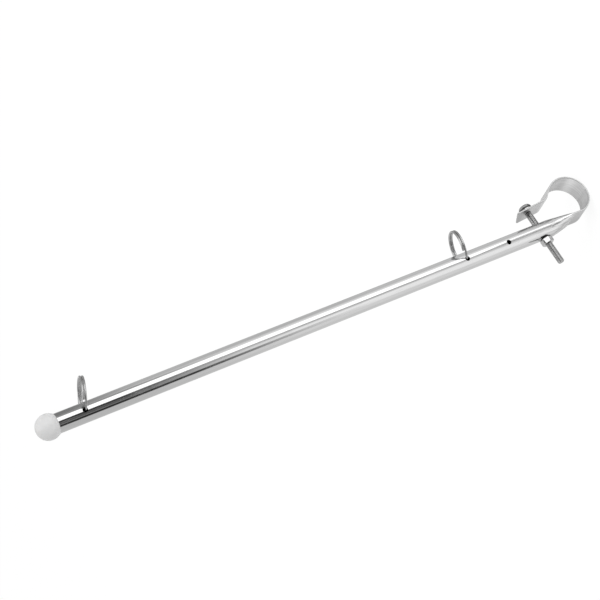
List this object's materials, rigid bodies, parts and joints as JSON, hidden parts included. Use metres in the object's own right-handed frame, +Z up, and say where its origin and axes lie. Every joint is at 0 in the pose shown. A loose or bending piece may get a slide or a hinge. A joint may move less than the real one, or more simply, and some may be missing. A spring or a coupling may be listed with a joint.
{
  "type": "rail-mount flagstaff",
  "caption": "Short stainless flagstaff for a boat's guard rail: tube with a ball end, split rings through cross holes and a foot rolled into a screw-closed rail clamp.",
  "frame": {"origin": "middle of the rail clamp's bore, on the rail's axis", "axes": "+Z up the staff towards the ball, +X from the staff towards the tab under the screw head, Y along the rail"},
  "size_m": [0.0571, 0.0254, 0.4355],
  "materials": {
    "polished_tube": "mirror-polished stainless steel, satin on the rolled strap",
    "nylon": "smooth off-white nylon",
    "ring_wire": "bright stainless wire",
    "fastener_steel": "plain stainless steel"
  },
  "bodies": {
    "mast": {"staff": "polished_tube", "ball_cap": "nylon", "lock_washer": "fastener_steel"},
    "upper_ring": {"split_ring_upper": "ring_wire"},
    "lower_ring": {"split_ring_lower": "ring_wire"},
    "screw": {"clamp_screw": "fastener_steel"},
    "nut": {"hex_nut": "fastener_steel"}
  },
  "joints": [
    {"name": "upper_ring_swing", "type": "hinge", "parent": "mast", "child": "upper_ring", "pos_m": [-0.0152, 0, 0.3887], "axis": [0.1392, 0.9903, 0], "range_deg": [-83, 48]},
    {"name": "lower_ring_swing", "type": "hinge", "parent": "mast", "child": "lower_ring", "pos_m": [-0.0152, 0, 0.1004], "axis": [0.1392, 0.9903, 0], "range_deg": [-73, 60]},
    {"name": "screw_turn", "type": "hinge", "parent": "mast", "child": "screw", "pos_m": [0, 0, 0.0334], "axis": [1, 0, 0], "range_deg": [0, 7480]},
    {"name": "nut_travel", "type": "slide", "parent": "mast", "child": "nut", "axis": [-1, 0, 0], "range_m": [0, 0.0166]}
  ],
  "couplings": [
    {"joint": "screw_turn", "follows": "nut_travel", "rad_per_m": 7854}
  ]
}
